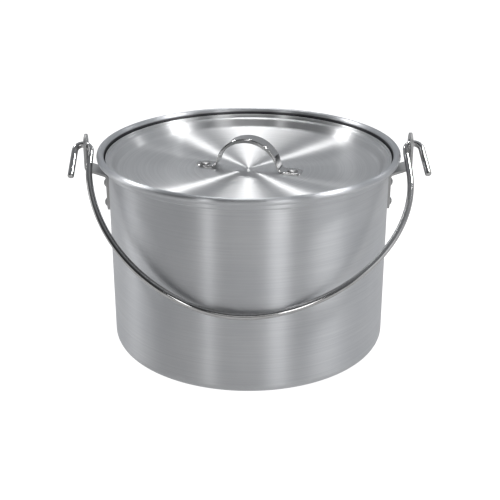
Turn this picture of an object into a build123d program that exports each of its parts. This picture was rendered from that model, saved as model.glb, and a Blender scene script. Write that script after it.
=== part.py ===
from build123d import *

import os
from math import cos, pi, radians, sin, sqrt, tan

# Camp kettle: a deep-drawn aluminium pot with a rolled rim, a recessed lid with an
# arched handle, and a wire bail hooked through two riveted strap ears.
# Millimetres. The origin is the centre of the base's underside, +Z is up, the ears
# stand on -X (left) and +X (right), and the bail hangs down the front, on -Y.

# ---------------------------------------------------------------- driving dimensions

# Pot body
body_diameter = 260.0        # outside of the straight wall
pot_sheet = 1.5              # wall and base thickness
ledge_height = 176.5         # top of the step that the lid sits on
base_corner_radius = 9.0     # outside, where the wall turns into the base
ledge_width = 4.9            # how far the step stands out from the wall
rim_band_height = 7.1        # step to the middle of the rolled rim
ledge_bend_radius = 1.2      # to the middle of the sheet
bead_radius = 3.25           # outside of the rolled rim's tube
bead_curl_angle = 290.0      # how far the sheet is rolled round

# Lid
lid_sheet = 1.2
lid_edge_gap = 1.1           # lid's lip to the rim, all round
lid_seat_gap = 0.3           # lid's flange above the step
lid_lip_height = 4.3         # flange's underside to the top of its turned-up lip
lid_flange_width = 5.2       # lip to the top of the recess, sheet middles
lid_recess_depth = 12.0      # flange down to the flat middle
lid_wall_run = 4.7           # how far the recess wall leans in
lid_flat_margin = 1.0        # flat middle of the disc, past the handle's feet
lid_dish_angle = 3.5         # rise of the disc from there to its edge, degrees
lid_dish_radius = 200.0      # bend radii, to the middle of the sheet
lid_floor_bend = 5.0
lid_top_bend = 2.2
lid_lip_bend = 1.3

# Lid handle
handle_turn = -16.6          # about +Z, from the ears' line, degrees
handle_width = 15.5
handle_sheet = 1.5
handle_arch_radius = 30.5    # outside of the arch
handle_foot_length = 20.5    # past the arch
handle_foot_bend = 5.0       # outside radius where the arch meets a foot
handle_lip_depth = 3.8       # depth of the turned-down edges at the top of the arch
handle_lip_fade = 6.0        # height above the feet where those edges start
handle_edge_round = 1.2
handle_end_corner = 2.5      # corners of the square-cut foot; the other foot is rounded

# Rivets
rivet_shank_radius = 2.5
rivet_head_radius = 4.3
rivet_head_height = 3.4
rivet_rim_height = 0.9       # straight edge of a head, below its dome
rivet_tail_radius = 4.0
rivet_tail_height = 1.5
lid_rivet_inset = 8.75       # from the end of a foot
lid_rivet_head_radius = 4.9
lid_rivet_head_height = 1.8
ear_rivet_upper_drop = 24.0  # below the pot's step
ear_rivet_lower_drop = 43.2

# Ears
ear_width = 22.0
ear_sheet = 2.2
ear_bottom_drop = 49.5       # lower end of the strap, below the pot's step
ear_bend_drop = 14.4         # where the strap leaves the wall
ear_corner_radius = 8.0
ear_tongue_angle = 18.5      # rise of the tongue, degrees
ear_bend_radius = 3.2        # to the middle of the sheet

# Bail
wire_diameter = 6.0
wire_end_round = 1.4
hinge_rise = 12.2            # middle of the ears' holes, above the pot's step
ear_hole_play = 2.0          # hole's edge to the wire
rim_to_leg_gap = 2.5         # wire's inner leg to the outside of the rolled rim
hook_play = 0.55             # wire's inner leg to the inside of the ear
hook_rise = 0.6              # wire's middle above the hinge line, in the ear's hole
hook_bend_radius = 7.3       # to the middle of the wire
hook_leg_length = 28.5       # free end of the hook, outside the ear
right_hook_flare = 8.0       # slant of that end, degrees
left_hook_flare = 4.0
bail_wall_gap = 0.6          # hanging wire's lowest point to the front of the pot
bow_overreach = 27.6         # hinge line to lowest point, past half the legs' spacing
bow_low_shift = -4.0         # lowest point, to the right of the middle
bow_side_drop = 36.0         # where the legs turn into the bow, below the hinge line
right_bow_bulge = 1.5        # bow there, outside the leg above it
left_bow_bulge = -0.5
right_bow_lean = 0.0         # slant of the bow there, degrees inwards
left_bow_lean = 8.0
bow_side_fullness = 0.55     # how square the bow's shoulders are, by its height
bow_foot_fullness = 0.46     # and by its half width

# ---------------------------------------------------------------- derived dimensions

wall_radius = body_diameter / 2
wall_inner_radius = wall_radius - pot_sheet
band_radius = wall_radius + ledge_width
band_inner_radius = band_radius - pot_sheet
bead_height = ledge_height + rim_band_height
bead_centre_radius = band_inner_radius + bead_radius
bead_outer_radius = bead_centre_radius + bead_radius

lid_radius = band_inner_radius - lid_edge_gap
lid_flange_level = ledge_height + lid_seat_gap + lid_sheet / 2
lid_floor_level = lid_flange_level - lid_recess_depth
lid_floor_top = lid_floor_level + lid_sheet / 2

handle_length = 2 * (handle_arch_radius + handle_foot_length)
lid_rivet_spacing = handle_length - 2 * lid_rivet_inset
lid_flat_radius = handle_length / 2 + lid_flat_margin

hinge_height = ledge_height + hinge_rise
ear_bottom = ledge_height - ear_bottom_drop
ear_bend_height = ledge_height - ear_bend_drop
ear_rivet_heights = {
    "upper": ledge_height - ear_rivet_upper_drop,
    "lower": ledge_height - ear_rivet_lower_drop,
}

wire_radius = wire_diameter / 2
leg_x = bead_outer_radius + rim_to_leg_gap + wire_radius
ear_tab_x = leg_x + wire_radius + hook_play + ear_sheet / 2
ear_base_x = wall_radius + ear_sheet / 2
hook_centre_x = leg_x + hook_bend_radius
hook_overhang = hook_centre_x - ear_tab_x
hook_drop = sqrt(hook_bend_radius**2 - hook_overhang**2) - hook_rise
ear_hole_radius = wire_radius + ear_hole_play

bail_reach = leg_x + bow_overreach
bow_height = bail_reach - bow_side_drop
hang_sine = (wall_radius + bail_wall_gap + wire_radius) / bail_reach
hang_cosine = sqrt(1 - hang_sine**2)


def offset_corners(points, distance):
    """Corners of an open run of straight sheet, moved sideways to its left."""
    lines = []
    for start, end in zip(points, points[1:]):
        length = sqrt((end[0] - start[0]) ** 2 + (end[1] - start[1]) ** 2)
        direction = ((end[0] - start[0]) / length, (end[1] - start[1]) / length)
        shift = (-direction[1] * distance, direction[0] * distance)
        lines.append((start[0] + shift[0], start[1] + shift[1], *direction))
    moved = [(lines[0][0], lines[0][1])]
    for (ax, ay, au, av), (bx, by, bu, bv) in zip(lines, lines[1:]):
        along = ((bx - ax) * bv - (by - ay) * bu) / (au * bv - av * bu)
        moved.append((ax + au * along, ay + av * along))
    last = lines[-1]
    moved.append((points[-1][0] - last[3] * distance, points[-1][1] + last[2] * distance))
    return moved


def turn_sign(before, corner, after):
    """+1 where a run turns left at a corner, -1 where it turns right."""
    cross = (corner[0] - before[0]) * (after[1] - corner[1])
    cross -= (corner[1] - before[1]) * (after[0] - corner[0])
    return 1 if cross > 0 else -1


def sheet_side(points, radii, distance):
    """One face line of a bent sheet: its middle line moved sideways, bends included."""
    signs = [turn_sign(*points[i:i + 3]) for i in range(len(points) - 2)]
    side_radii = [radius - sign * distance for radius, sign in zip(radii, signs)]
    return FilletPolyline(*offset_corners(points, distance), radius=side_radii)


def sheet_face(points, radii, thickness):
    """Section of a bent sheet of even thickness about its middle line."""
    left = sheet_side(points, radii, thickness / 2)
    right = sheet_side(points, radii, -thickness / 2)
    start = Line(right @ 0, left @ 0)
    end = Line(left @ 1, right @ 1)
    return make_face(Wire([start, *left.edges(), end, *right.edges()]))


def spin(section):
    """Turn an X-Z section, drawn in the X-Y plane, once round the kettle's axis."""
    return revolve(Plane.XZ * section, axis=Axis.Z)


def rivet_head(radius, height):
    """Domed head, its flat underside on Z = 0."""
    dome = TangentArc((0, height), (radius, rivet_rim_height), tangent=(1, 0))
    rest = Polyline((radius, rivet_rim_height), (radius, 0), (0, 0), (0, height))
    return spin(make_face(Wire([dome, *rest.edges()])))


def rivet_shank(length):
    """Shank up to the head's underside on Z = 0."""
    return Pos(0, 0, -length / 2) * Cylinder(rivet_shank_radius, length)


def rivet_tail(height):
    """Closed-up end, reaching down from Z = 0."""
    tail = Pos(0, 0, -height / 2) * Cylinder(rivet_tail_radius, height)
    return chamfer(tail.edges().group_by(Axis.Z)[0], height / 2)


# ---------------------------------------------------------------- pot body


def pot_outline(distance):
    """Pot's inner (+) or outer (-) face line, from the axis up to the rolled rim."""
    wall_line = wall_radius - pot_sheet / 2
    band_line = band_radius - pot_sheet / 2
    ledge_line = ledge_height - pot_sheet / 2
    points = [
        (0, pot_sheet / 2),
        (wall_line, pot_sheet / 2),
        (wall_line, ledge_line),
        (band_line, ledge_line),
        (band_line, bead_height),
    ]
    base_bend = base_corner_radius - pot_sheet / 2
    radii = [base_bend, ledge_bend_radius, ledge_bend_radius]
    return sheet_side(points, radii, distance)


def curl(radius):
    """Arc of the rolled rim, from the band over the top, outwards and under."""
    return CenterArc(
        (bead_centre_radius, bead_height),
        radius,
        start_angle=180,
        arc_size=-bead_curl_angle,
    )


def make_pot_body():
    inner = pot_outline(pot_sheet / 2)
    outer = pot_outline(-pot_sheet / 2)
    curl_face = curl(bead_radius)
    curl_back = curl(bead_radius - pot_sheet)
    edges = [Line(outer @ 0, inner @ 0), *inner.edges(), curl_face]
    edges += [Line(curl_face @ 1, curl_back @ 1), curl_back, *outer.edges()]
    pot = spin(make_face(Wire(edges)))
    for height in ear_rivet_heights.values():
        pot -= Pos(0, 0, height) * Rot(0, 90, 0) * Cylinder(
            rivet_shank_radius, 2 * body_diameter
        )
    return pot


# ---------------------------------------------------------------- lid


def make_lid():
    lip_line = lid_radius - lid_sheet / 2
    recess_top = lip_line - lid_flange_width
    recess_foot = recess_top - lid_wall_run
    dish_start = lid_flat_radius + lid_dish_radius * tan(radians(lid_dish_angle / 2))
    dish_rise = (recess_foot - dish_start) * tan(radians(lid_dish_angle))
    points = [
        (0, lid_floor_level),
        (dish_start, lid_floor_level),
        (recess_foot, lid_floor_level + dish_rise),
        (recess_top, lid_flange_level),
        (lip_line, lid_flange_level),
        (lip_line, lid_flange_level - lid_sheet / 2 + lid_lip_height),
    ]
    radii = [lid_dish_radius, lid_floor_bend, lid_top_bend, lid_lip_bend]
    lid = spin(sheet_face(points, radii, lid_sheet))
    lip_edges = lid.edges().group_by(Axis.Z)[-1]
    lid = fillet(lip_edges, lid_sheet * 0.45)
    for hole_place in lid_rivet_places():
        lid -= hole_place * Cylinder(rivet_shank_radius, 4 * lid_sheet)
    return lid


# ---------------------------------------------------------------- lid handle


def lid_rivet_places():
    """Where the two rivets stand, left then right, on the disc's upper face."""
    seat = Pos(0, 0, lid_floor_top) * Rot(0, 0, handle_turn)
    return [seat * Pos(side * lid_rivet_spacing / 2, 0, 0) for side in (-1, 1)]


def handle_strap_section():
    """The strap seen from its side: a foot, an arch and a foot, standing on Y = 0."""
    inner_radius = handle_arch_radius - handle_sheet
    upper_half = Pos(0, handle_arch_radius) * Rectangle(
        handle_length, 2 * handle_arch_radius
    )
    section = (Circle(handle_arch_radius) - Circle(inner_radius)) & upper_half
    foot_length = handle_length / 2 - inner_radius
    for side in (-1, 1):
        foot_middle = side * (inner_radius + foot_length / 2)
        section += Pos(foot_middle, handle_sheet / 2) * Rectangle(foot_length, handle_sheet)
    outer_corners = [
        corner
        for corner in section.vertices()
        if abs(corner.Y - handle_sheet) < 0.01
        and inner_radius < abs(corner.X) < handle_arch_radius + 0.01
    ]
    section = fillet(outer_corners, handle_foot_bend)
    inner_corners = [
        corner
        for corner in section.vertices()
        if abs(corner.Y) < 0.01 and abs(abs(corner.X) - inner_radius) < 0.01
    ]
    return fillet(inner_corners, handle_foot_bend + handle_sheet)


def handle_lip_section():
    """One turned-down edge: deepest at the top of the arch, faded out near the feet."""
    inner_radius = handle_arch_radius - handle_sheet
    lip_top = handle_arch_radius - handle_lip_depth
    drop = (inner_radius**2 - lip_top**2) / (2 * (lip_top - handle_lip_fade))
    edge = Pos(0, -drop) * Circle(lip_top + drop)
    above = Pos(0, handle_lip_fade + handle_arch_radius) * Rectangle(
        handle_length, 2 * handle_arch_radius
    )
    return (Circle(handle_arch_radius - handle_edge_round) - edge) & above


def is_handle_top_edge(edge):
    """True for the long edges of the strap's outer face and for its two ends."""
    box = edge.bounding_box()
    if abs(box.min.Z - handle_sheet) + abs(box.max.Z - handle_sheet) < 0.01:
        crosswise = box.max.X - box.min.X < 0.01
        return not crosswise or box.max.X > handle_length / 2 - 0.01
    if edge.geom_type != GeomType.CIRCLE or box.max.Y - box.min.Y > 0.01:
        return False
    return min(abs(edge.radius - handle_arch_radius), abs(edge.radius - handle_foot_bend)) < 0.01


def make_lid_handle():
    strap = extrude(Plane.XZ * handle_strap_section(), handle_width / 2, both=True)
    round_end_x = (handle_width - handle_length) / 2
    outline = Rectangle(handle_length, handle_width)
    square_corners = outline.vertices().group_by(Axis.X)[-1]
    round_corners = outline.vertices().group_by(Axis.X)[0]
    outline = fillet(square_corners, handle_end_corner)
    outline -= Pos(-handle_length / 2, 0) * Rectangle(handle_width, handle_width)
    outline += Pos(round_end_x, 0) * Circle(handle_width / 2)
    strap &= extrude(outline, 2 * handle_arch_radius)
    strap = fillet(strap.edges().filter_by(is_handle_top_edge), handle_edge_round)
    lip = extrude(Plane.XZ * handle_lip_section(), handle_sheet / 2, both=True)
    for side in (-1, 1):
        strap += Pos(0, side * (handle_width - handle_sheet) / 2, 0) * lip
    handle = Pos(0, 0, lid_floor_top) * Rot(0, 0, handle_turn) * strap
    for place in lid_rivet_places():
        handle -= place * Cylinder(rivet_shank_radius, 4 * handle_sheet)
    return handle


def make_lid_rivet(place):
    head = rivet_head(lid_rivet_head_radius, lid_rivet_head_height)
    rivet = Pos(0, 0, handle_sheet) * (head + rivet_shank(handle_sheet + lid_sheet))
    rivet += Pos(0, 0, -lid_sheet) * rivet_tail(rivet_tail_height)
    return place * rivet


# ---------------------------------------------------------------- ears


def ear_rivet_axis(height):
    """+Z along +X, out through the right-hand ear, its origin on the ear's face."""
    return Plane((ear_base_x + ear_sheet / 2, 0, height), x_dir=(0, 1, 0), z_dir=(1, 0, 0))


def make_right_ear():
    tongue_run = ear_tab_x - ear_base_x
    tongue_rise = tongue_run * tan(radians(ear_tongue_angle))
    tab_top = hinge_height + ear_width / 2
    points = [
        (ear_base_x, ear_bottom),
        (ear_base_x, ear_bend_height),
        (ear_tab_x, ear_bend_height + tongue_rise),
        (ear_tab_x, tab_top),
    ]
    section = sheet_face(points, [ear_bend_radius, ear_bend_radius], ear_sheet)
    backing_height = ear_bend_height - 2 * ear_sheet - ear_bottom
    section += Pos(wall_radius, ear_bottom + backing_height / 2) * Rectangle(
        2 * ear_sheet, backing_height
    )
    strap = extrude(Plane.XZ * section, ear_width / 2, both=True)
    outline = Pos(0, (ear_bottom + hinge_height) / 2) * Rectangle(
        ear_width, hinge_height - ear_bottom
    )
    outline = fillet(outline.vertices().group_by(Axis.Y)[0], ear_corner_radius)
    outline += Pos(0, hinge_height) * Circle(ear_width / 2)
    strap &= extrude(Plane.YZ * outline, 2 * ear_tab_x)
    strap -= Cylinder(wall_radius, 4 * hinge_height)
    drill = Pos(ear_tab_x, 0, hinge_height) * Rot(0, 90, 0)
    strap -= drill * Cylinder(ear_hole_radius, 4 * ear_sheet)
    for height in ear_rivet_heights.values():
        strap -= ear_rivet_axis(height) * Cylinder(rivet_shank_radius, 4 * ear_sheet)
    return strap


def make_right_ear_rivet(height):
    head = rivet_head(rivet_head_radius, rivet_head_height)
    axis = ear_rivet_axis(height)
    rivet = axis * (head + rivet_shank(ear_sheet + 2 * pot_sheet))
    tail = axis * Pos(0, 0, -ear_sheet) * rivet_tail(pot_sheet + rivet_tail_height)
    return rivet + (tail & Cylinder(wall_inner_radius, 4 * height))


def half_turn(piece):
    """The same piece on the other side of the kettle."""
    return Rot(0, 0, 180) * piece


# ---------------------------------------------------------------- bail


def half_bail(side, flare, bulge, lean):
    """Half of the wire's middle line, from its tip down to the bow's lowest point.

    Drawn in the bail's own plane, X along the hinge line and Y up from it, as the
    right half. The left half (side = -1) is drawn the same way and then turned over.
    """
    bend = CenterArc((hook_centre_x, -hook_drop), hook_bend_radius, flare, 180 - flare)
    tip = (bend @ 0) - (bend % 0) * hook_leg_length
    low_x = side * bow_low_shift
    shoulder_x = leg_x + bulge
    slant = Vector(-sin(radians(lean)), -cos(radians(lean)))
    shoulder = Vector(shoulder_x, -bow_side_drop)
    low = Vector(low_x, -bail_reach)
    leg = Spline(bend @ 1, shoulder, tangents=[bend % 1, slant])
    bow = Bezier(
        shoulder,
        shoulder + slant * bow_height * bow_side_fullness,
        low + Vector(shoulder_x - low_x, 0) * bow_foot_fullness,
        low,
    )
    return [Line(tip, bend @ 0), bend, leg, bow]


def bail_path():
    right = half_bail(1, right_hook_flare, right_bow_bulge, right_bow_lean)
    left = half_bail(-1, left_hook_flare, left_bow_bulge, left_bow_lean)
    return Wire([*right, *[edge.mirror(Plane.YZ) for edge in reversed(left)]])


def make_bail():
    path = bail_path()
    section = Plane(path @ 0, z_dir=path % 0) * Circle(wire_radius)
    wire = sweep(section, path)
    tips = [
        edge
        for edge in wire.edges().filter_by(GeomType.CIRCLE)
        if abs(edge.length - 2 * pi * wire_radius) < 0.01
        and min((edge.arc_center - path @ end).length for end in (0, 1)) < 0.01
    ]
    wire = fillet(tips, wire_end_round)
    hanging = Plane(
        (0, 0, hinge_height), x_dir=(1, 0, 0), z_dir=(0, -hang_cosine, hang_sine)
    )
    return hanging * wire


# ---------------------------------------------------------------- sub-parts


def make_pieces():
    pieces = {"pot_body": make_pot_body(), "right_ear": make_right_ear()}
    pieces["left_ear"] = half_turn(pieces["right_ear"])
    for place, height in ear_rivet_heights.items():
        rivet = make_right_ear_rivet(height)
        pieces[f"right_ear_rivet_{place}"] = rivet
        pieces[f"left_ear_rivet_{place}"] = half_turn(rivet)
    pieces["bail"] = make_bail()
    pieces["lid"] = make_lid()
    pieces["lid_handle"] = make_lid_handle()
    for side, place in zip(("left", "right"), lid_rivet_places()):
        pieces[f"lid_rivet_{side}"] = make_lid_rivet(place)
    return pieces


os.makedirs("parts", exist_ok=True)
for node, piece in make_pieces().items():
    export_step(piece, f"parts/{node}.step")
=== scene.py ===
from math import acos, cos, pi, radians, sin, sqrt, tan

import bpy
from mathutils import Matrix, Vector


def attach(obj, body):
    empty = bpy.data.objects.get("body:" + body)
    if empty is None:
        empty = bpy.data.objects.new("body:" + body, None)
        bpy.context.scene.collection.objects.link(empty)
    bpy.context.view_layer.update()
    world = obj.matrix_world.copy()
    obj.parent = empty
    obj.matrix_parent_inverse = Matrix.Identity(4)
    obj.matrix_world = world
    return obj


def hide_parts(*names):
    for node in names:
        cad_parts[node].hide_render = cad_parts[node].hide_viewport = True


MM = 0.001

# ------------------------------------------------------------------ frame

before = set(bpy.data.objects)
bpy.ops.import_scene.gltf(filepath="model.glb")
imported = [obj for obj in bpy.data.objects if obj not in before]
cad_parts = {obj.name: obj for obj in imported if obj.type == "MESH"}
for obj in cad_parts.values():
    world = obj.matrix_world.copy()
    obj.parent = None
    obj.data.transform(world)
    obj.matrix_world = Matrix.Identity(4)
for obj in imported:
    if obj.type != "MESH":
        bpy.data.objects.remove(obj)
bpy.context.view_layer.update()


# ------------------------------------------------------------------ sizes, in millimetres

# Pot
WALL = 130.0  # outside radius of the straight wall
POT_SHEET = 1.5
BASE_CORNER = 9.0
LEDGE_HEIGHT = 176.5
LEDGE_BEND = 1.2
BAND = WALL + 4.9  # outside radius of the band above the step
BEAD_HEIGHT = LEDGE_HEIGHT + 7.1
BEAD = 3.25  # outside radius of the rolled rim's tube
BEAD_CURL = radians(290)
BEAD_CENTRE = BAND - POT_SHEET + BEAD

# Lid
LID_SHEET = 1.2
LIP = BAND - POT_SHEET - 1.1
LIP_HEIGHT = 4.3
FLANGE_WIDTH = 5.2
FLANGE_LEVEL = LEDGE_HEIGHT + 0.3 + LID_SHEET / 2
FLOOR_LEVEL = FLANGE_LEVEL - 12.0
RECESS_RUN = 4.7
FLAT_RADIUS = 52.0  # flat middle, just past the handle's feet
DISH_ANGLE = radians(3.5)
DISH_BEND = 200.0
FLOOR_BEND = 5.0
TOP_BEND = 2.2
LIP_BEND = 1.3

# Bail, in its own plane: x along the hinge line, y up from it
HINGE_HEIGHT = LEDGE_HEIGHT + 12.2
WIRE = 3.0  # radius
WIRE_END_ROUND = 1.4
WALL_GAP = 0.6  # hanging wire's lowest point to the wall
LEG_X = BEAD_CENTRE + BEAD + 2.5 + WIRE  # wire's leg, inside the ear
TAB_X = LEG_X + WIRE + 0.55 + 1.1  # middle of the ear's sheet
HOOK_BEND = 7.3
HOOK_RISE = 0.6
HOOK_LEG = 28.5
BAIL_REACH = LEG_X + 27.6  # hinge line to the bow's lowest point
BOW_LOW_SHIFT = -4.0
BOW_SIDE_DROP = 36.0
BOW_SIDE_FULLNESS = 0.55
BOW_FOOT_FULLNESS = 0.46


# ------------------------------------------------------------------ node helpers


class Nodes:
    """Short names for building one node material."""

    def __init__(self, name):
        self.material = bpy.data.materials.new(name)
        self.material.use_nodes = True
        self.tree = self.material.node_tree
        self.tree.nodes.clear()
        self.shader = self.add("ShaderNodeBsdfPrincipled")
        output = self.add("ShaderNodeOutputMaterial")
        self.link(self.shader.outputs[0], output.inputs["Surface"])

    def add(self, kind, **settings):
        node = self.tree.nodes.new(kind)
        for key, value in settings.items():
            setattr(node, key, value)
        return node

    def link(self, source, target):
        self.tree.links.new(source, target)

    def feed(self, socket, value):
        if isinstance(value, bpy.types.NodeSocket):
            self.link(value, socket)
        else:
            socket.default_value = value

    def place(self):
        """Position on the object, in metres."""
        return self.add("ShaderNodeTexCoord").outputs["Object"]

    def math(self, operation, a, b=0.0):
        node = self.add("ShaderNodeMath", operation=operation)
        self.feed(node.inputs[0], a)
        self.feed(node.inputs[1], b)
        return node.outputs[0]

    def weighted(self, first, share, second):
        """Sum of two values, the first weighted by its share and the second by the rest."""
        rest = round(1 - share, 6)
        return self.math(
            "ADD",
            self.math("MULTIPLY", first, share),
            self.math("MULTIPLY", second, rest),
        )

    def scaled(self, vector, scale):
        node = self.add("ShaderNodeVectorMath", operation="MULTIPLY")
        self.feed(node.inputs[0], vector)
        node.inputs[1].default_value = scale
        return node.outputs[0]

    def radius(self, vector):
        """Distance from the kettle's axis."""
        node = self.add("ShaderNodeVectorMath", operation="LENGTH")
        self.feed(node.inputs[0], self.scaled(vector, (1, 1, 0)))
        return node.outputs["Value"]

    def combine(self, x, y, z):
        node = self.add("ShaderNodeCombineXYZ")
        for socket, value in zip(node.inputs, (x, y, z)):
            self.feed(socket, value)
        return node.outputs[0]

    def split(self, vector):
        node = self.add("ShaderNodeSeparateXYZ")
        self.feed(node.inputs[0], vector)
        return node.outputs

    def noise(self, vector, scale=1.0, detail=2.0, roughness=0.5):
        node = self.add("ShaderNodeTexNoise")
        self.feed(node.inputs["Vector"], vector)
        node.inputs["Scale"].default_value = scale
        node.inputs["Detail"].default_value = detail
        node.inputs["Roughness"].default_value = roughness
        return node.outputs["Fac"]

    def ramp(self, value, low, high, out_low=0.0, out_high=1.0):
        node = self.add("ShaderNodeMapRange")
        self.feed(node.inputs["Value"], value)
        for key, number in (
            ("From Min", low),
            ("From Max", high),
            ("To Min", out_low),
            ("To Max", out_high),
        ):
            node.inputs[key].default_value = number
        return node.outputs["Result"]

    def mix(self, factor, a, b):
        node = self.add("ShaderNodeMix", data_type="RGBA")
        self.feed(node.inputs["Factor"], factor)
        self.feed(node.inputs["A"], a)
        self.feed(node.inputs["B"], b)
        return node.outputs["Result"]

    def bump(self, height, distance, strength=1.0):
        node = self.add("ShaderNodeBump")
        node.inputs["Strength"].default_value = strength
        node.inputs["Distance"].default_value = distance
        self.feed(node.inputs["Height"], height)
        return node.outputs["Normal"]

    def spun(self, anisotropy):
        """Highlights drawn out across grooves that run round the kettle's axis."""
        self.shader.inputs["Anisotropic"].default_value = anisotropy
        self.shader.inputs["Anisotropic Rotation"].default_value = 0.25
        tangent = self.add("ShaderNodeTangent", direction_type="RADIAL", axis="Z")
        self.link(tangent.outputs[0], self.shader.inputs["Tangent"])

    def finish(self, colour, roughness, normal=None, metallic=1.0):
        self.shader.inputs["Metallic"].default_value = metallic
        self.feed(self.shader.inputs["Base Color"], colour)
        self.feed(self.shader.inputs["Roughness"], roughness)
        if normal is not None:
            self.link(normal, self.shader.inputs["Normal"])
        return self.material


# ------------------------------------------------------------------ materials


def grey(level, warmth=0.0):
    return (level * (1 + warmth), level, level * (1 - warmth), 1)


def pot_material():
    """Satin aluminium with fine lines round the wall, soft stains and painted shade in the
    gap round the lid.
    """
    nodes = Nodes("pot_aluminium_spun")
    place = nodes.place()
    radius = nodes.radius(place)
    height = nodes.split(place)["Z"]
    rings = nodes.combine(nodes.math("MULTIPLY", radius, 1500.0), 0.0, 0.0)
    lines = nodes.add("ShaderNodeVectorMath", operation="ADD")
    nodes.feed(lines.inputs[0], rings)
    nodes.feed(lines.inputs[1], nodes.scaled(place, (14, 14, 1500)))
    fine = nodes.noise(lines.outputs[0], 1.0, 3.0, 0.6)
    coarse = nodes.noise(nodes.scaled(place, (9, 9, 520)), 1.0, 3.0, 0.55)
    cloud = nodes.noise(place, 16.0, 3.0, 0.55)
    grain = nodes.weighted(fine, 0.6, coarse)
    colour = nodes.mix(
        nodes.ramp(grain, 0.32, 0.68),
        (0.65, 0.66, 0.68, 1),
        (0.77, 0.78, 0.795, 1),
    )
    stain = nodes.ramp(cloud, 0.35, 0.7, 0.0, 0.25)
    colour = nodes.mix(stain, colour, (0.58, 0.60, 0.64, 1))
    roughness = nodes.math(
        "ADD",
        nodes.ramp(grain, 0.3, 0.7, 0.36, 0.44),
        nodes.ramp(cloud, 0.3, 0.7, -0.015, 0.02),
    )
    # Painted shade: the inside of the band, in the gap round the lid, is painted dark where
    # that gap lies in shadow.
    inside = nodes.math("LESS_THAN", radius, (BAND - POT_SHEET + 0.15) * MM)
    above_step = nodes.math("GREATER_THAN", height, (LEDGE_HEIGHT - 2.0) * MM)
    below_bead = nodes.ramp(height, (BEAD_HEIGHT + 0.6) * MM, (BEAD_HEIGHT - 0.6) * MM)
    gap_shade = nodes.math("MULTIPLY", inside, above_step)
    gap_shade = nodes.math("MULTIPLY", gap_shade, below_bead)
    colour = nodes.mix(gap_shade, colour, (0.10, 0.10, 0.105, 1))
    nodes.spun(0.93)
    return nodes.finish(colour, roughness, nodes.bump(grain, 0.00001, 0.4))


def lid_material():
    """Bright spun aluminium: fine rings about the axis, nothing across them, and painted
    shade on the lip's outer edge.
    """
    nodes = Nodes("lid_aluminium_spun")
    place = nodes.place()
    radius = nodes.radius(place)
    rings = nodes.add("ShaderNodeVectorMath", operation="ADD")
    ring_height = nodes.math("MULTIPLY", radius, 1300.0)
    nodes.feed(rings.inputs[0], nodes.combine(0.0, 0.0, ring_height))
    nodes.feed(rings.inputs[1], nodes.scaled(place, (6, 6, 6)))
    fine = nodes.noise(rings.outputs[0], 1.0, 3.0, 0.6)
    band_place = nodes.combine(nodes.math("MULTIPLY", radius, 240.0), 0.0, 0.0)
    bands = nodes.noise(band_place, 1.0, 2.0)
    grain = nodes.weighted(fine, 0.7, bands)
    colour = nodes.mix(
        nodes.ramp(grain, 0.3, 0.7),
        (0.70, 0.705, 0.71, 1),
        (0.86, 0.862, 0.865, 1),
    )
    # Painted shade: the outer edge of the lip is painted dark, for the shadowed gap between
    # lid and rim.
    gap_shade = nodes.ramp(radius, (LIP - 0.4) * MM, (LIP - 0.2) * MM)
    colour = nodes.mix(gap_shade, colour, (0.16, 0.16, 0.165, 1))
    roughness = nodes.ramp(grain, 0.3, 0.7, 0.35, 0.39)
    nodes.spun(1.0)
    return nodes.finish(colour, roughness, nodes.bump(grain, 0.000015, 0.4))


def plated_material(name, level, roughness):
    """Bright plating over drawn steel, with faint wear and dust."""
    nodes = Nodes(name)
    place = nodes.place()
    cloud = nodes.noise(place, 120.0, 4.0, 0.6)
    specks = nodes.noise(place, 900.0, 2.0, 0.5)
    colour = nodes.mix(nodes.ramp(cloud, 0.35, 0.7), grey(level), grey(level * 0.86, 0.01))
    rough = nodes.math(
        "ADD",
        nodes.ramp(cloud, 0.3, 0.7, roughness * 0.8, roughness * 1.3),
        nodes.ramp(specks, 0.55, 0.75, 0.0, 0.05),
    )
    return nodes.finish(colour, rough, nodes.bump(cloud, 0.00005, 0.25))


def strap_material():
    """Dull rolled aluminium strap, with a mottled grain, lighter along its sharp edges."""
    nodes = Nodes("ear_aluminium_rolled")
    place = nodes.place()
    rolled = nodes.noise(nodes.scaled(place, (700, 700, 60)), 1.0, 3.0, 0.6)
    mottled = nodes.noise(place, 260.0, 4.0, 0.65)
    grain = nodes.weighted(rolled, 0.5, mottled)
    colour = nodes.mix(nodes.ramp(grain, 0.35, 0.65), grey(0.18), grey(0.30))
    # Lighter along the sharp edges.
    edge = nodes.add("ShaderNodeNewGeometry").outputs["Pointiness"]
    colour = nodes.mix(nodes.ramp(edge, 0.52, 0.6, 0.0, 0.7), colour, grey(0.62))
    roughness = nodes.ramp(grain, 0.3, 0.7, 0.42, 0.58)
    return nodes.finish(colour, roughness, nodes.bump(grain, 0.00008, 0.4))


def rivet_material():
    """Soft aluminium, slightly dented where the rivet was set."""
    nodes = Nodes("rivet_aluminium_set")
    place = nodes.place()
    dents = nodes.noise(place, 420.0, 3.0, 0.6)
    colour = nodes.mix(nodes.ramp(dents, 0.35, 0.65), grey(0.28), grey(0.48))
    roughness = nodes.ramp(dents, 0.3, 0.7, 0.26, 0.4)
    return nodes.finish(colour, roughness, nodes.bump(dents, 0.0001, 0.4))


# ------------------------------------------------------------------ shapes


def new_piece(name, vertices, faces, material, node, body):
    mesh = bpy.data.meshes.new(name)
    mesh.from_pydata(vertices, [], faces)
    mesh.validate()
    mesh.update()
    mesh.shade_smooth()
    mesh.materials.append(material)
    piece = bpy.data.objects.new(name, mesh)
    bpy.context.scene.collection.objects.link(piece)
    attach(piece, body)
    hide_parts(node)
    return piece


def wear(piece, material):
    """Give a piece of the frame its only material."""
    piece.data.materials.clear()
    piece.data.materials.append(material)


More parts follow.
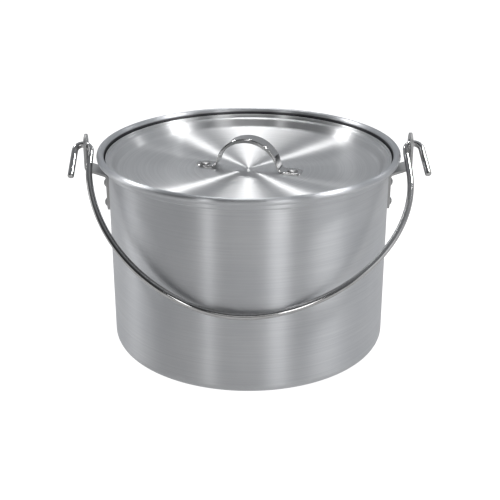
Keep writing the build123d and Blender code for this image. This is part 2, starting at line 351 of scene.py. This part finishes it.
def bend_line(points, radii, step=radians(6)):
    """A run of straight lines with each corner rounded, as points."""
    line = [Vector(points[0])]
    for before, corner, after, radius in zip(points, points[1:], points[2:], radii):
        before, corner, after = Vector(before), Vector(corner), Vector(after)
        way_in = (corner - before).normalized()
        way_out = (after - corner).normalized()
        turn = acos(max(-1, min(1, way_in.dot(way_out))))
        reach = radius * tan(turn / 2)
        left = way_in.x * way_out.y - way_in.y * way_out.x > 0
        normal = Vector((-way_in.y, way_in.x)) * (1 if left else -1)
        start = corner - way_in * reach
        centre = start + normal * radius
        count = max(2, round(turn / step))
        for k in range(count + 1):
            angle = turn * k / count * (1 if left else -1)
            arm = start - centre
            line.append(centre + Vector((
                arm.x * cos(angle) - arm.y * sin(angle),
                arm.x * sin(angle) + arm.y * cos(angle),
            )))
    line.append(Vector(points[-1]))
    return line


def arc_points(centre, radius, start, end, step):
    """Points on an arc from one angle to another, both ends included."""
    count = max(4, round(abs(end - start) / step))
    angles = [start + (end - start) * k / count for k in range(count + 1)]
    return [Vector(centre) + Vector((cos(a), sin(a))) * radius for a in angles]


def bezier(a, b, c, d, count):
    """Points on a cubic curve from a to d, with its handles at b and c."""
    points = []
    for k in range(count + 1):
        t = k / count
        u = 1 - t
        points.append(a * u**3 + b * (3 * u * u * t) + c * (3 * u * t * t) + d * t**3)
    return points


def offset_line(points, distance):
    """The same corners, moved to the left by distance."""
    moved = []
    for i, point in enumerate(points):
        sides = []
        for a, b in ((i - 1, i), (i, i + 1)):
            if a >= 0 and b < len(points):
                way = (Vector(points[b]) - Vector(points[a])).normalized()
                sides.append(Vector((-way.y, way.x)))
        shift = sides[0] + sides[-1]
        moved.append(Vector(point) + shift * (distance / (1 + sides[0].dot(sides[-1]))))
    return moved


def sheet_sides(points, radii, thickness):
    """Both faces of a bent sheet, from its middle line."""
    sides = []
    for side in (1, -1):
        side_radii = []
        for before, corner, after, radius in zip(points, points[1:], points[2:], radii):
            way_in = Vector(corner) - Vector(before)
            way_out = Vector(after) - Vector(corner)
            left = way_in.x * way_out.y - way_in.y * way_out.x > 0
            side_radii.append(radius + (-1 if left else 1) * side * thickness / 2)
        sides.append(bend_line(offset_line(points, side * thickness / 2), side_radii))
    return sides


def refine(line, longest):
    """More points on the long straights, so that the surface shades evenly."""
    fine = [line[0]]
    for a, b in zip(line, line[1:]):
        count = max(1, int((b - a).length / longest))
        fine += [a.lerp(b, k / count) for k in range(1, count + 1)]
    return fine


def lathe(name, section, material, node, body, steps=360):
    """A closed section, (radius, height) in millimetres, turned round the axis."""
    vertices = []
    rings = []
    for point in section:
        if abs(point.x) < 1e-6:
            rings.append([len(vertices)] * steps)
            vertices.append((0, 0, point.y * MM))
            continue
        rings.append(list(range(len(vertices), len(vertices) + steps)))
        for k in range(steps):
            angle = 2 * pi * k / steps
            vertices.append((
                point.x * MM * cos(angle),
                point.x * MM * sin(angle),
                point.y * MM,
            ))
    faces = []
    for a, b in zip(rings, rings[1:] + rings[:1]):
        for k in range(steps):
            n = (k + 1) % steps
            corners = []
            for index in (a[k], a[n], b[n], b[k]):
                if index not in corners:
                    corners.append(index)
            if len(corners) > 2:
                faces.append(corners)
    return new_piece(name, vertices, faces, material, node, body)


def skin(rings, sides):
    """Faces along a run of rings, each a closed loop of points, and over both ends."""
    faces = []
    for i in range(rings - 1):
        for k in range(sides):
            n = (k + 1) % sides
            faces.append((
                i * sides + k,
                i * sides + n,
                (i + 1) * sides + n,
                (i + 1) * sides + k,
            ))
    last = (rings - 1) * sides
    faces.append(tuple(range(sides))[::-1])
    faces.append(tuple(range(last, last + sides)))
    return faces


# ------------------------------------------------------------------ pot


def build_pot(material):
    """Base, wall, step and band from one bent sheet, with the rolled rim at its end."""
    wall = WALL - POT_SHEET / 2
    band = BAND - POT_SHEET / 2
    ledge = LEDGE_HEIGHT - POT_SHEET / 2
    corners = [
        (0, POT_SHEET / 2),
        (wall, POT_SHEET / 2),
        (wall, ledge),
        (band, ledge),
        (band, BEAD_HEIGHT),
    ]
    bends = [BASE_CORNER - POT_SHEET / 2, LEDGE_BEND, LEDGE_BEND]
    inner, outer = sheet_sides(corners, bends, POT_SHEET)
    centre = (BEAD_CENTRE, BEAD_HEIGHT)
    face, back = [
        arc_points(centre, radius, pi, pi - BEAD_CURL, BEAD_CURL / 48)
        for radius in (BEAD, BEAD - POT_SHEET)
    ]
    face = refine(inner, 12)[:-1] + face
    back = refine(outer, 12)[:-1] + back
    section = face + back[::-1]
    return lathe("pot_spun", section, material, "pot_body", "pot")


# ------------------------------------------------------------------ lid


def build_lid(material):
    """Flat middle, dished disc, recess wall, flange and a lip with a rounded edge."""
    half = LID_SHEET / 2
    lip = LIP - half
    recess_top = lip - FLANGE_WIDTH
    recess_foot = recess_top - RECESS_RUN
    dish_start = FLAT_RADIUS + DISH_BEND * tan(DISH_ANGLE / 2)
    dish_rise = (recess_foot - dish_start) * tan(DISH_ANGLE)
    corners = [
        (0, FLOOR_LEVEL),
        (dish_start, FLOOR_LEVEL),
        (recess_foot, FLOOR_LEVEL + dish_rise),
        (recess_top, FLANGE_LEVEL),
        (lip, FLANGE_LEVEL),
        (lip, FLANGE_LEVEL + LIP_HEIGHT - 2 * half),
    ]
    bends = [DISH_BEND, FLOOR_BEND, TOP_BEND, LIP_BEND]
    upper, under = sheet_sides(corners, bends, LID_SHEET)
    edge = arc_points((lip, corners[-1][1]), half, pi, 0, pi / 12)[1:-1]
    section = refine(upper, 6) + edge + refine(under, 6)[::-1]
    return lathe("lid_spun", section, material, "lid", "lid")


# ------------------------------------------------------------------ bail


def half_bail(side, flare, bulge, lean):
    """Middle line in the bail's plane, from one tip down to the bow's lowest point.

    Drawn as the right half. The left half (side = -1) is drawn the same way and then
    turned over. flare and lean are in degrees.
    """
    flare, lean = radians(flare), radians(lean)
    centre_x = LEG_X + HOOK_BEND
    drop = sqrt(HOOK_BEND**2 - (centre_x - TAB_X) ** 2) - HOOK_RISE
    bend = arc_points((centre_x, -drop), HOOK_BEND, flare, pi, radians(7))
    tip = bend[0] - Vector((-sin(flare), cos(flare))) * HOOK_LEG
    free = [tip.lerp(bend[0], k / 10) for k in range(10)]
    slant = Vector((-sin(lean), -cos(lean)))
    shoulder = Vector((LEG_X + bulge, -BOW_SIDE_DROP))
    low = Vector((side * BOW_LOW_SHIFT, -BAIL_REACH))
    third = (shoulder - bend[-1]).length / 3
    leg = bezier(
        bend[-1],
        bend[-1] + Vector((0, -1)) * third,
        shoulder - slant * third,
        shoulder,
        14,
    )
    bow = bezier(
        shoulder,
        shoulder + slant * ((BAIL_REACH - BOW_SIDE_DROP) * BOW_SIDE_FULLNESS),
        low + Vector((shoulder.x - low.x, 0)) * BOW_FOOT_FULLNESS,
        low,
        120,
    )
    return free + bend + leg[1:-1] + bow


def rounded_tip(tip, towards):
    """Places and radii along a wire end that is rounded over, from its face inwards."""
    inward = (towards - tip).normalized()
    stations = []
    for k in range(7):
        angle = pi / 2 * (6 - k) / 6
        depth = WIRE_END_ROUND * (1 - sin(angle))
        stations.append((tip + inward * depth, WIRE - WIRE_END_ROUND * (1 - cos(angle))))
    return stations


def build_bail(material):
    """The wire, hanging against the front of the pot."""
    right = half_bail(1, flare=8.0, bulge=1.5, lean=0.0)
    left = half_bail(-1, flare=4.0, bulge=-0.5, lean=8.0)
    left = [Vector((-point.x, point.y)) for point in left]
    line = right + left[::-1][1:]
    hang_sine = (WALL + WALL_GAP + WIRE) / BAIL_REACH
    up = Vector((0, hang_sine, sqrt(1 - hang_sine**2)))
    side = Vector((1, 0, 0))
    normal = side.cross(up)
    hinge = Vector((0, 0, HINGE_HEIGHT))
    run = rounded_tip(line[0], line[1])
    run += [(point, WIRE) for point in line[1:-1]]
    run += rounded_tip(line[-1], line[-2])[::-1]
    vertices = []
    sides = 40
    for i, (point, size) in enumerate(run):
        way = run[min(len(run) - 1, i + 1)][0] - run[max(0, i - 1)][0]
        way = (side * way.x + up * way.y).normalized()
        across = normal.cross(way)
        middle = hinge + side * point.x + up * point.y
        for k in range(sides):
            angle = 2 * pi * k / sides
            arm = across * (size * cos(angle)) + normal * (size * sin(angle))
            vertices.append(tuple((middle + arm) * MM))
    faces = skin(len(run), sides)
    return new_piece("bail_wire", vertices, faces, material, "bail", "bail")


# ------------------------------------------------------------------ studio

FLOOR_GLOW = 0.40
WORLD_GLOW_DARK = 0.04
WORLD_GLOW_BRIGHT = 0.42

# Name, azimuth, elevation, distance, width, height, power. Azimuth 0 is +X, 90 is behind
# the kettle and -90 is in front of it.
PANELS = [
    ("panel_back", 90, 60, 1.6, 0.20, 0.28, 2.6),
    ("panel_back_left", 106, 60, 1.6, 0.12, 0.12, 0.6),
    ("panel_right", 0, 54, 1.6, 0.22, 0.22, 7.5),
    ("panel_left_back", 150, 45, 1.6, 0.18, 0.18, 5.5),
    ("panel_right_back", 40, 34, 1.6, 0.12, 0.12, 0.6),
    ("panel_far_back", 100, 26, 1.8, 0.10, 0.10, 0.08),
    ("panel_front_left", -121, 15, 1.8, 0.16, 0.9, 1.7),
    ("panel_front_right", -68, 15, 1.8, 0.42, 0.9, 3.6),
    ("panel_side_right", -28, 15, 1.8, 0.9, 0.9, 1.6),
    ("panel_front", -90, 24, 1.8, 0.9, 0.25, 1.2),
    ("panel_side_left", 168, 10, 1.8, 0.5, 0.8, 1.2),
]


def add_area(name, azimuth, elevation, distance, width, height, power):
    """A soft panel aimed at the kettle."""
    a, e = radians(azimuth), radians(elevation)
    target = Vector((0, 0, 0.12))
    way = Vector((cos(a) * cos(e), sin(a) * cos(e), sin(e)))
    data = bpy.data.lights.new(name, "AREA")
    data.shape = "RECTANGLE"
    data.size = width
    data.size_y = height
    data.energy = power
    lamp = bpy.data.objects.new(name, data)
    lamp.location = target + way * distance
    lamp.rotation_mode = "QUATERNION"
    lamp.rotation_quaternion = (-way).to_track_quat("-Z", "Y")
    bpy.context.scene.collection.objects.link(lamp)


def build_floor():
    """Plain floor just under the kettle, so that the two don't share a plane."""
    size = 14.0
    mesh = bpy.data.meshes.new("studio_floor")
    mesh.from_pydata(
        [(-size, -size, 0), (size, -size, 0), (size, size, 0), (-size, size, 0)],
        [],
        [(0, 1, 2, 3)],
    )
    floor = bpy.data.objects.new("studio_floor", mesh)
    floor.location.z = -0.0003
    bpy.context.scene.collection.objects.link(floor)
    # Seen directly the floor is plain white; as a light and in reflections it is softer.
    nodes = Nodes("studio_floor_white")
    direct = nodes.add("ShaderNodeLightPath").outputs["Is Camera Ray"]
    nodes.shader.inputs["Emission Color"].default_value = (1, 1, 1, 1)
    nodes.feed(
        nodes.shader.inputs["Emission Strength"],
        nodes.ramp(direct, 0.0, 1.0, FLOOR_GLOW, 1.0),
    )
    mesh.materials.append(nodes.finish((0.25, 0.25, 0.25, 1), 0.9, metallic=0.0))


def build_world():
    """A grey studio, dark on the camera's side."""
    world = bpy.data.worlds.new("studio")
    world.use_nodes = True
    bpy.context.scene.world = world
    tree = world.node_tree
    background = tree.nodes["Background"]
    background.inputs["Color"].default_value = (0.93, 0.96, 1.0, 1)
    way = tree.nodes.new("ShaderNodeTexCoord")
    facing = tree.nodes.new("ShaderNodeVectorMath")
    facing.operation = "DOT_PRODUCT"
    facing.inputs[1].default_value = (-0.42, -0.90, 0.0)
    glow = tree.nodes.new("ShaderNodeMapRange")
    glow.interpolation_type = "SMOOTHSTEP"
    for key, number in (
        ("From Min", 0.75),
        ("From Max", -0.35),
        ("To Min", WORLD_GLOW_DARK),
        ("To Max", WORLD_GLOW_BRIGHT),
    ):
        glow.inputs[key].default_value = number
    tree.links.new(way.outputs["Generated"], facing.inputs[0])
    tree.links.new(facing.outputs["Value"], glow.inputs["Value"])
    tree.links.new(glow.outputs["Result"], background.inputs["Strength"])
    # Seen directly the studio is plain white, like the floor.
    white = tree.nodes.new("ShaderNodeBackground")
    white.inputs["Color"].default_value = (1, 1, 1, 1)
    direct = tree.nodes.new("ShaderNodeLightPath").outputs["Is Camera Ray"]
    choice = tree.nodes.new("ShaderNodeMixShader")
    tree.links.new(direct, choice.inputs[0])
    tree.links.new(background.outputs[0], choice.inputs[1])
    tree.links.new(white.outputs[0], choice.inputs[2])
    tree.links.new(choice.outputs[0], tree.nodes["World Output"].inputs["Surface"])


def build_camera():
    """From the front, a little above the rim."""
    data = bpy.data.cameras.new("camera")
    data.lens = 74.86
    data.sensor_width = 36.0
    data.shift_x = 0.0029
    data.shift_y = -0.0134
    data.clip_end = 50.0
    camera = bpy.data.objects.new("camera", data)
    camera.location = (-0.0113, -0.9215, 0.4782)
    way = Vector((0, 0, 0.09)) - camera.location
    camera.rotation_mode = "QUATERNION"
    camera.rotation_quaternion = way.to_track_quat("-Z", "Y")
    bpy.context.scene.collection.objects.link(camera)
    bpy.context.scene.camera = camera


# ------------------------------------------------------------------ build

build_pot(pot_material())
build_lid(lid_material())
build_bail(plated_material("bail_steel_plated", 0.58, 0.10))

handle_metal = plated_material("handle_steel_plated", 0.56, 0.09)
ear_metal = strap_material()
rivet_metal = rivet_material()
for node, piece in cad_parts.items():
    if "rivet" in node:
        wear(piece, rivet_metal)
    elif node.endswith("_ear"):
        wear(piece, ear_metal)
    elif node == "lid_handle":
        wear(piece, handle_metal)

build_floor()
build_world()
build_camera()
for panel in PANELS:
    add_area(*panel)

bpy.context.scene.view_settings.view_transform = "Standard"
